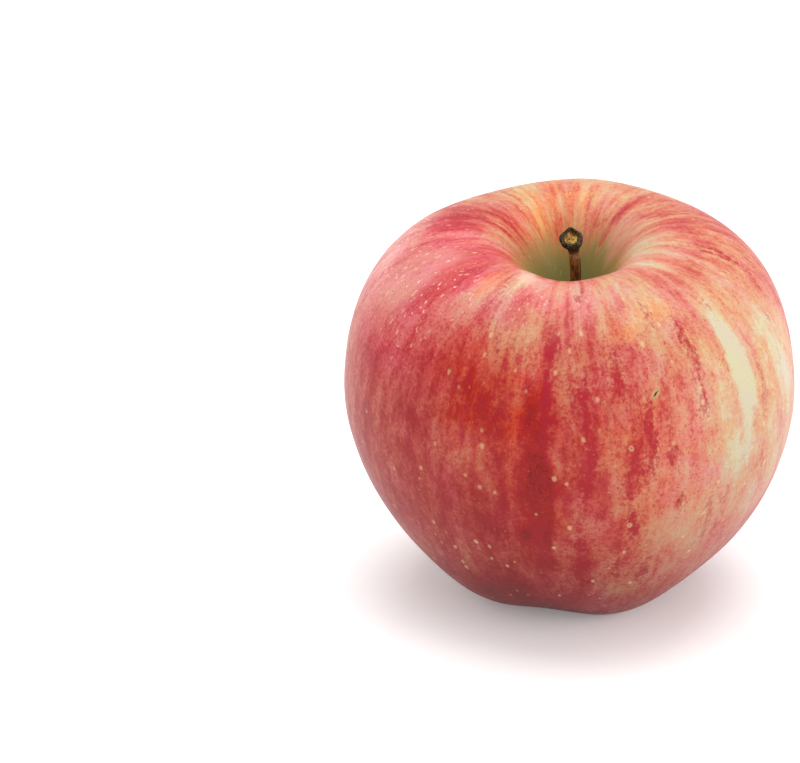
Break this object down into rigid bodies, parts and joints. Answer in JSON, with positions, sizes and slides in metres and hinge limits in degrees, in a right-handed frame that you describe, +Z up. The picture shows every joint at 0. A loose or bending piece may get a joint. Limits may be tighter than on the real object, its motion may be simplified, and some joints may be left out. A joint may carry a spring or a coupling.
{
  "type": "apple",
  "caption": "Whole ripe dessert apple with red-streaked skin, a short woody stem in its cavity and a dried calyx in the basin it stands over.",
  "frame": {"origin": "on the table, under the middle of the fruit's bounding box", "axes": "+Z up as the apple stands, -Y the side that the crown leans to, +X to the right seen from that side"},
  "size_m": [0.085, 0.084, 0.0739],
  "materials": {
    "skin": "waxy skin, cream to orange ground under a broken crimson blush with darker streaks, pale lenticels, green-gold in the stem cavity",
    "stem": "dry brown bark, ridged along its length, with a dark cracked rim and a tan cut face",
    "sepal": "dry, downy grey-brown leaf, darker at the curled tip",
    "stamen": "dry dark brown threads"
  },
  "bodies": {
    "root": {"fruit": "skin", "stem": "stem", "sepal_1": "sepal", "sepal_2": "sepal", "sepal_3": "sepal", "sepal_4": "sepal", "sepal_5": "sepal", "stamen_tuft": "stamen"}
  },
  "joints": []
}
